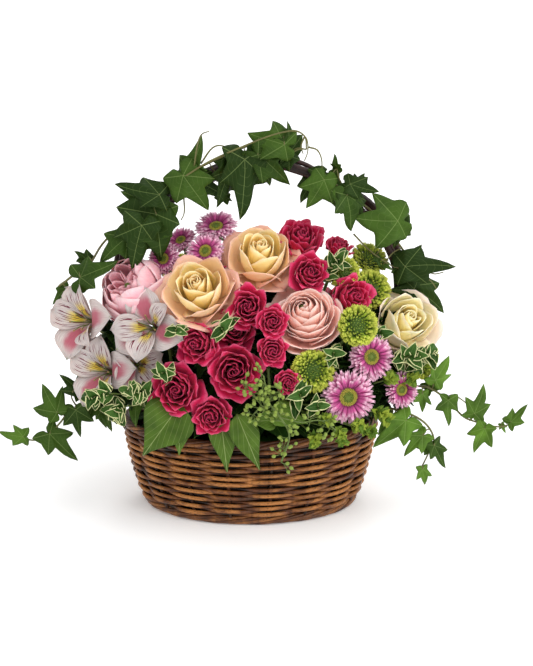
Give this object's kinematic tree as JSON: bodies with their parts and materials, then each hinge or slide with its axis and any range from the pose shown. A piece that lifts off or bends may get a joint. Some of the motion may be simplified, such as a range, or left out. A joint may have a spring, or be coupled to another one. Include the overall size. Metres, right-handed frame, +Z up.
{
  "type": "flower basket arrangement",
  "caption": "Oval willow basket with a twisted hoop handle, filled with an arrangement of cut flowers, ivy and sprigs standing in floral foam.",
  "frame": {"origin": "centre of the basket's flat base, on the surface that it stands on", "axes": "+X along the basket's long axis, to the right as seen from the front; -Y is the front, which the flowers face; +Z is up"},
  "size_m": [0.5013, 0.2229, 0.3739],
  "materials": {
    "willow": "peeled willow rods, satin brown",
    "willow_border": "twisted and plaited willow, satin brown",
    "handle_twig": "dark twigs with bark, twisted together",
    "liner": "matt dark green",
    "floral_foam": "dry crumbly foam, dark green, wet in use",
    "rose_apricot": "soft petals, golden inside and peach at the edges",
    "rose_cream": "soft petals, cream with a yellow heart",
    "ranunculus_pink": "soft papery petals, salmon pink",
    "peony_pink": "soft petals, cool light pink",
    "rose_crimson": "velvety petals, crimson pink with a dark heart",
    "aster_magenta": "soft rays, pink magenta, round a yellow-green disc",
    "mum_lime": "matt florets, lime yellow with a greener heart",
    "alstroemeria_white": "satin tepals, white with pink blotches and dark streaks",
    "ivy_leaf": "semi-gloss waxy leaf, dark green with paler veins",
    "salal_leaf": "semi-gloss leathery leaf, mid green",
    "variegated_leaf": "satin leaf, grey green with cream edges",
    "filler_leaf": "matt leaf, yellow green",
    "eucalyptus_seed": "matt seed capsules, yellow green"
  },
  "bodies": {
    "root": {"alstroemeria_lower": "alstroemeria_white", "alstroemeria_upper": "alstroemeria_white", "aster_low": "aster_magenta", "asters_back": "aster_magenta", "asters_left": "aster_magenta", "asters_right": "aster_magenta", "asters_top": "aster_magenta", "basket_base": "willow", "basket_foot": "willow_border", "basket_rim": "willow_border", "basket_wall": "willow", "eucalyptus_front": "eucalyptus_seed", "filler_right": "filler_leaf", "foam_block": "floral_foam", "handle_rod_1": "handle_twig", "handle_rod_2": "handle_twig", "handle_rod_3": "handle_twig", "ivy_back": "ivy_leaf", "ivy_back_right": "ivy_leaf", "ivy_handle_left": "ivy_leaf", "ivy_handle_right": "ivy_leaf", "ivy_trail_left": "ivy_leaf", "ivy_trail_low": "ivy_leaf", "ivy_trail_right": "ivy_leaf", "liner_bowl": "liner", "mum_front": "mum_lime", "mum_low": "mum_lime", "mum_right": "mum_lime", "mums_back": "mum_lime", "mums_top": "mum_lime", "peony": "peony_pink", "ranunculus": "ranunculus_pink", "rose_centre": "rose_apricot", "rose_left": "rose_apricot", "rose_right": "rose_cream", "salal_back": "salal_leaf", "salal_front": "salal_leaf", "salal_left": "salal_leaf", "salal_middle": "salal_leaf", "spray_rose_right": "rose_crimson", "spray_roses_back": "rose_crimson", "spray_roses_back_right": "rose_crimson", "spray_roses_front": "rose_crimson", "spray_roses_left": "rose_crimson", "spray_roses_low": "rose_crimson", "spray_roses_middle": "rose_crimson", "spray_roses_top": "rose_crimson", "variegated_back": "variegated_leaf", "variegated_front": "variegated_leaf", "variegated_left": "variegated_leaf", "variegated_right": "variegated_leaf", "variegated_top": "variegated_leaf"}
  },
  "joints": []
}
